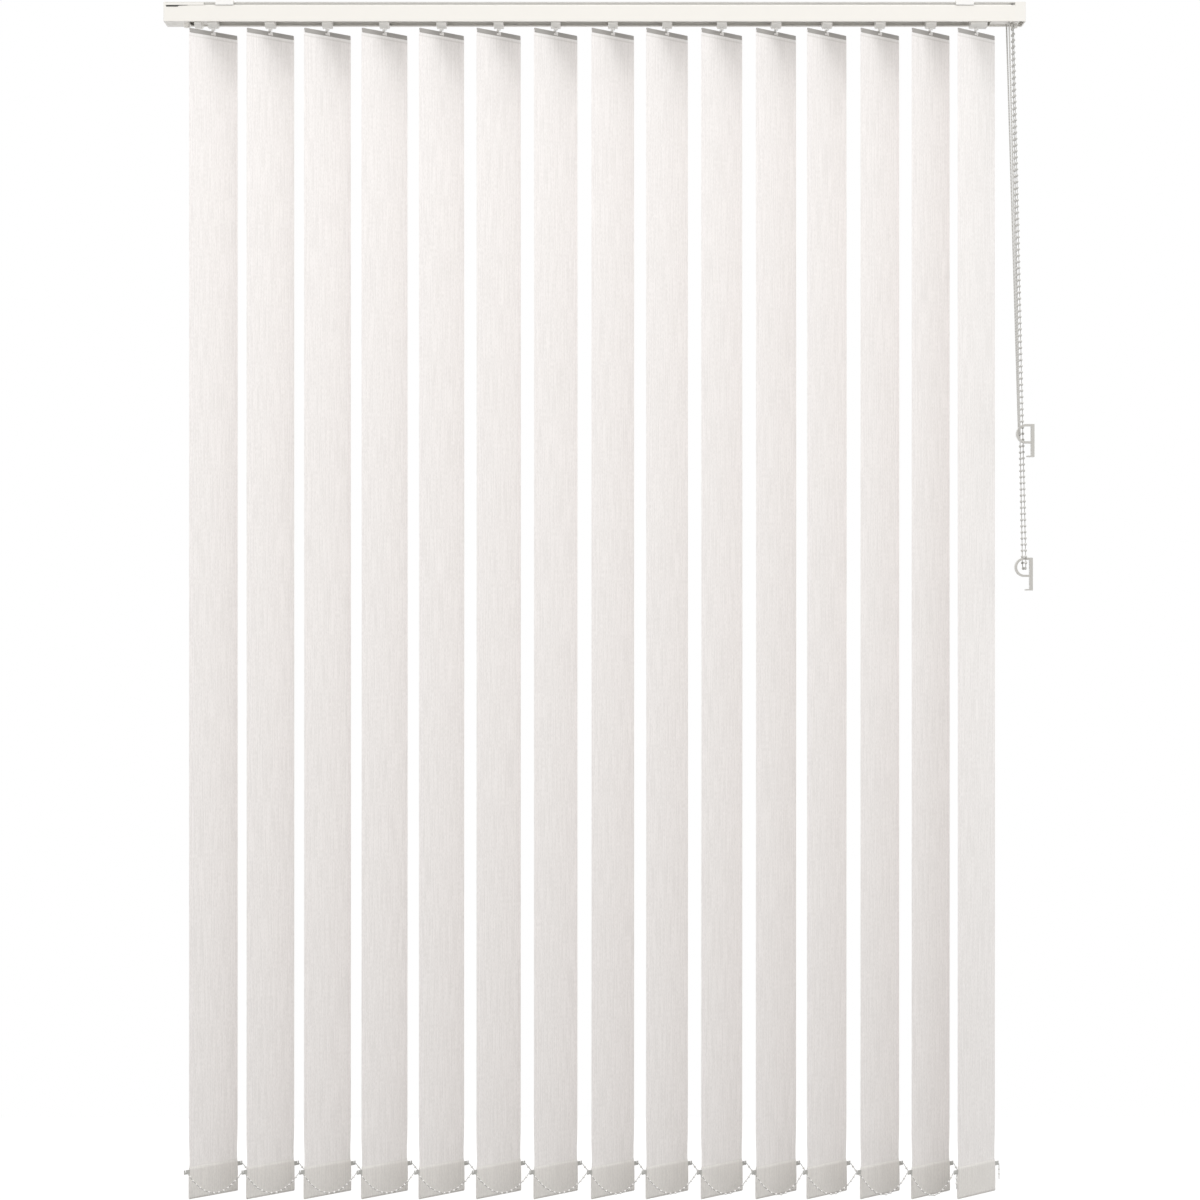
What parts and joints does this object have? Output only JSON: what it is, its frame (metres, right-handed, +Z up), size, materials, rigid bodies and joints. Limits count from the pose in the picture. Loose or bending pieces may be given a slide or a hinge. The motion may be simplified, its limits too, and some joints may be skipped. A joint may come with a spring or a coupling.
{
  "type": "vertical blind",
  "caption": "Vertical blind with a white headrail, hanging fabric slats that tilt and draw aside, bottom link chains, cord and bead-chain controls and wall clips.",
  "frame": {"origin": "on the ceiling plane, midway between the two bracket screws", "axes": "+Z up, +X along the rail towards the control end, front towards -Y"},
  "size_m": [1.213, 0.0804, 1.668],
  "materials": {
    "rail_paint": "warm white powder coat on extruded aluminium",
    "white_plastic": "white moulded plastic, satin",
    "bracket_steel": "white enamelled spring steel",
    "rod_aluminium": "plain drawn aluminium",
    "slat_fabric": "woven polyester with a slub weave, pale warm grey",
    "white_cord": "braided white polyester cord",
    "bead_chain": "white plastic beads on a thread",
    "clip_plastic": "translucent white plastic"
  },
  "bodies": {
    "rail": {"headrail": "rail_paint", "control_end_housing": "white_plastic", "idle_end_cap": "white_plastic", "ceiling_bracket_left": "bracket_steel", "ceiling_bracket_right": "bracket_steel", "traverse_cord_run": "white_cord", "traverse_cord": "white_cord", "tilt_chain": "bead_chain", "cord_clip": "clip_plastic", "chain_clip": "clip_plastic", "runner_15": "white_plastic"},
    "carriage_01": {"runner_01": "white_plastic"},
    "carriage_02": {"runner_02": "white_plastic"},
    "carriage_03": {"runner_03": "white_plastic"},
    "carriage_04": {"runner_04": "white_plastic"},
    "carriage_05": {"runner_05": "white_plastic"},
    "carriage_06": {"runner_06": "white_plastic"},
    "carriage_07": {"runner_07": "white_plastic"},
    "carriage_08": {"runner_08": "white_plastic"},
    "carriage_09": {"runner_09": "white_plastic"},
    "carriage_10": {"runner_10": "white_plastic"},
    "carriage_11": {"runner_11": "white_plastic"},
    "carriage_12": {"runner_12": "white_plastic"},
    "carriage_13": {"runner_13": "white_plastic"},
    "carriage_14": {"runner_14": "white_plastic"},
    "vane_01": {"stem_01": "white_plastic", "slat_01": "slat_fabric"},
    "vane_02": {"stem_02": "white_plastic", "slat_02": "slat_fabric"},
    "vane_03": {"stem_03": "white_plastic", "slat_03": "slat_fabric"},
    "vane_04": {"stem_04": "white_plastic", "slat_04": "slat_fabric"},
    "vane_05": {"stem_05": "white_plastic", "slat_05": "slat_fabric"},
    "vane_06": {"stem_06": "white_plastic", "slat_06": "slat_fabric"},
    "vane_07": {"stem_07": "white_plastic", "slat_07": "slat_fabric"},
    "vane_08": {"stem_08": "white_plastic", "slat_08": "slat_fabric"},
    "vane_09": {"stem_09": "white_plastic", "slat_09": "slat_fabric"},
    "vane_10": {"stem_10": "white_plastic", "slat_10": "slat_fabric"},
    "vane_11": {"stem_11": "white_plastic", "slat_11": "slat_fabric"},
    "vane_12": {"stem_12": "white_plastic", "slat_12": "slat_fabric"},
    "vane_13": {"stem_13": "white_plastic", "slat_13": "slat_fabric"},
    "vane_14": {"stem_14": "white_plastic", "slat_14": "slat_fabric"},
    "vane_15": {"stem_15": "white_plastic", "slat_15": "slat_fabric"},
    "tilt_drive": {"tilt_rod": "rod_aluminium", "chain_wheel": "white_plastic"},
    "end_pulley": {"idle_pulley": "white_plastic"},
    "link_chain_front": {"bottom_chain_front": "bead_chain"},
    "link_chain_back": {"bottom_chain_back": "bead_chain"}
  },
  "joints": [
    {"name": "traverse_01", "type": "slide", "parent": "rail", "child": "carriage_01", "axis": [1, 0, 0], "range_m": [0, 0.78921], "deforming": ["bottom_chain_front", "bottom_chain_back"]},
    {"name": "traverse_02", "type": "slide", "parent": "rail", "child": "carriage_02", "axis": [1, 0, 0], "range_m": [0, 0.73018]},
    {"name": "traverse_03", "type": "slide", "parent": "rail", "child": "carriage_03", "axis": [1, 0, 0], "range_m": [0, 0.67115]},
    {"name": "traverse_04", "type": "slide", "parent": "rail", "child": "carriage_04", "axis": [1, 0, 0], "range_m": [0, 0.61213]},
    {"name": "traverse_05", "type": "slide", "parent": "rail", "child": "carriage_05", "axis": [1, 0, 0], "range_m": [0, 0.5531]},
    {"name": "traverse_06", "type": "slide", "parent": "rail", "child": "carriage_06", "axis": [1, 0, 0], "range_m": [0, 0.49407]},
    {"name": "traverse_07", "type": "slide", "parent": "rail", "child": "carriage_07", "axis": [1, 0, 0], "range_m": [0, 0.43504]},
    {"name": "traverse_08", "type": "slide", "parent": "rail", "child": "carriage_08", "axis": [1, 0, 0], "range_m": [0, 0.37601]},
    {"name": "traverse_09", "type": "slide", "parent": "rail", "child": "carriage_09", "axis": [1, 0, 0], "range_m": [0, 0.31994]},
    {"name": "traverse_10", "type": "slide", "parent": "rail", "child": "carriage_10", "axis": [1, 0, 0], "range_m": [0, 0.26327]},
    {"name": "traverse_11", "type": "slide", "parent": "rail", "child": "carriage_11", "axis": [1, 0, 0], "range_m": [0, 0.20719]},
    {"name": "traverse_12", "type": "slide", "parent": "rail", "child": "carriage_12", "axis": [1, 0, 0], "range_m": [0, 0.15466]},
    {"name": "traverse_13", "type": "slide", "parent": "rail", "child": "carriage_13", "axis": [1, 0, 0], "range_m": [0, 0.09976]},
    {"name": "traverse_14", "type": "slide", "parent": "rail", "child": "carriage_14", "axis": [1, 0, 0], "range_m": [0, 0.04723]},
    {"name": "tilt_01", "type": "hinge", "parent": "carriage_01", "child": "vane_01", "pos_m": [-0.533, 0, -0.042], "axis": [0, 0, 1], "range_deg": [-35, 119]},
    {"name": "tilt_02", "type": "hinge", "parent": "carriage_02", "child": "vane_02", "pos_m": [-0.45323, 0, -0.042], "axis": [0, 0, 1], "range_deg": [-35, 119]},
    {"name": "tilt_03", "type": "hinge", "parent": "carriage_03", "child": "vane_03", "pos_m": [-0.37346, 0, -0.042], "axis": [0, 0, 1], "range_deg": [-35, 119]},
    {"name": "tilt_04", "type": "hinge", "parent": "carriage_04", "child": "vane_04", "pos_m": [-0.2937, 0, -0.042], "axis": [0, 0, 1], "range_deg": [-35, 119]},
    {"name": "tilt_05", "type": "hinge", "parent": "carriage_05", "child": "vane_05", "pos_m": [-0.21393, 0, -0.042], "axis": [0, 0, 1], "range_deg": [-35, 119]},
    {"name": "tilt_06", "type": "hinge", "parent": "carriage_06", "child": "vane_06", "pos_m": [-0.13416, 0, -0.042], "axis": [0, 0, 1], "range_deg": [-35, 119]},
    {"name": "tilt_07", "type": "hinge", "parent": "carriage_07", "child": "vane_07", "pos_m": [-0.05439, 0, -0.042], "axis": [0, 0, 1], "range_deg": [-35, 119]},
    {"name": "tilt_08", "type": "hinge", "parent": "carriage_08", "child": "vane_08", "pos_m": [0.02538, 0, -0.042], "axis": [0, 0, 1], "range_deg": [-35, 119]},
    {"name": "tilt_09", "type": "hinge", "parent": "carriage_09", "child": "vane_09", "pos_m": [0.10116, 0, -0.042], "axis": [0, 0, 1], "range_deg": [-35, 119]},
    {"name": "tilt_10", "type": "hinge", "parent": "carriage_10", "child": "vane_10", "pos_m": [0.17773, 0, -0.042], "axis": [0, 0, 1], "range_deg": [-35, 119]},
    {"name": "tilt_11", "type": "hinge", "parent": "carriage_11", "child": "vane_11", "pos_m": [0.25351, 0, -0.042], "axis": [0, 0, 1], "range_deg": [-35, 119]},
    {"name": "tilt_12", "type": "hinge", "parent": "carriage_12", "child": "vane_12", "pos_m": [0.32451, 0, -0.042], "axis": [0, 0, 1], "range_deg": [-35, 119]},
    {"name": "tilt_13", "type": "hinge", "parent": "carriage_13", "child": "vane_13", "pos_m": [0.39869, 0, -0.042], "axis": [0, 0, 1], "range_deg": [-35, 119]},
    {"name": "tilt_14", "type": "hinge", "parent": "carriage_14", "child": "vane_14", "pos_m": [0.46969, 0, -0.042], "axis": [0, 0, 1], "range_deg": [-35, 119]},
    {"name": "tilt_15", "type": "hinge", "parent": "rail", "child": "vane_15", "pos_m": [0.5335, 0, -0.042], "axis": [0, 0, 1], "range_deg": [-35, 119]},
    {"name": "rod_turn", "type": "hinge", "parent": "rail", "child": "tilt_drive", "pos_m": [0.585, 0.0075, -0.0195], "axis": [1, 0, 0], "range_deg": [-140, 476]},
    {"name": "pulley_turn", "type": "hinge", "parent": "rail", "child": "end_pulley", "pos_m": [-0.57, 0, -0.0135], "axis": [0, 0, 1], "range_deg": [0, 3229.9]},
    {"name": "link_front", "type": "hinge", "parent": "vane_15", "child": "link_chain_front", "pos_m": [0.49937, -0.0379, -1.6298], "axis": [0, 0, 1], "range_deg": [-119, 35]},
    {"name": "link_back", "type": "hinge", "parent": "vane_15", "child": "link_chain_back", "pos_m": [0.56763, 0.0379, -1.6298], "axis": [0, 0, 1], "range_deg": [-119, 35]}
  ],
  "couplings": [
    {"joint": "traverse_02", "follows": "traverse_01", "ratio": 0.92521},
    {"joint": "traverse_03", "follows": "traverse_01", "ratio": 0.85041},
    {"joint": "traverse_04", "follows": "traverse_01", "ratio": 0.77562},
    {"joint": "traverse_05", "follows": "traverse_01", "ratio": 0.70082},
    {"joint": "traverse_06", "follows": "traverse_01", "ratio": 0.62603},
    {"joint": "traverse_07", "follows": "traverse_01", "ratio": 0.55123},
    {"joint": "traverse_08", "follows": "traverse_01", "ratio": 0.47644},
    {"joint": "traverse_09", "follows": "traverse_01", "ratio": 0.40538},
    {"joint": "traverse_10", "follows": "traverse_01", "ratio": 0.33358},
    {"joint": "traverse_11", "follows": "traverse_01", "ratio": 0.26253},
    {"joint": "traverse_12", "follows": "traverse_01", "ratio": 0.19596},
    {"joint": "traverse_13", "follows": "traverse_01", "ratio": 0.1264},
    {"joint": "traverse_14", "follows": "traverse_01", "ratio": 0.059835},
    {"joint": "tilt_02", "follows": "tilt_01", "ratio": 1},
    {"joint": "tilt_03", "follows": "tilt_01", "ratio": 1},
    {"joint": "tilt_04", "follows": "tilt_01", "ratio": 1},
    {"joint": "tilt_05", "follows": "tilt_01", "ratio": 1},
    {"joint": "tilt_06", "follows": "tilt_01", "ratio": 1},
    {"joint": "tilt_07", "follows": "tilt_01", "ratio": 1},
    {"joint": "tilt_08", "follows": "tilt_01", "ratio": 1},
    {"joint": "tilt_09", "follows": "tilt_01", "ratio": 1},
    {"joint": "tilt_10", "follows": "tilt_01", "ratio": 1},
    {"joint": "tilt_11", "follows": "tilt_01", "ratio": 1},
    {"joint": "tilt_12", "follows": "tilt_01", "ratio": 1},
    {"joint": "tilt_13", "follows": "tilt_01", "ratio": 1},
    {"joint": "tilt_14", "follows": "tilt_01", "ratio": 1},
    {"joint": "tilt_15", "follows": "tilt_01", "ratio": 1},
    {"joint": "rod_turn", "follows": "tilt_01", "ratio": 4},
    {"joint": "pulley_turn", "follows": "traverse_01", "rad_per_m": 71.429},
    {"joint": "link_front", "follows": "tilt_01", "ratio": -1},
    {"joint": "link_back", "follows": "tilt_01", "ratio": -1}
  ]
}
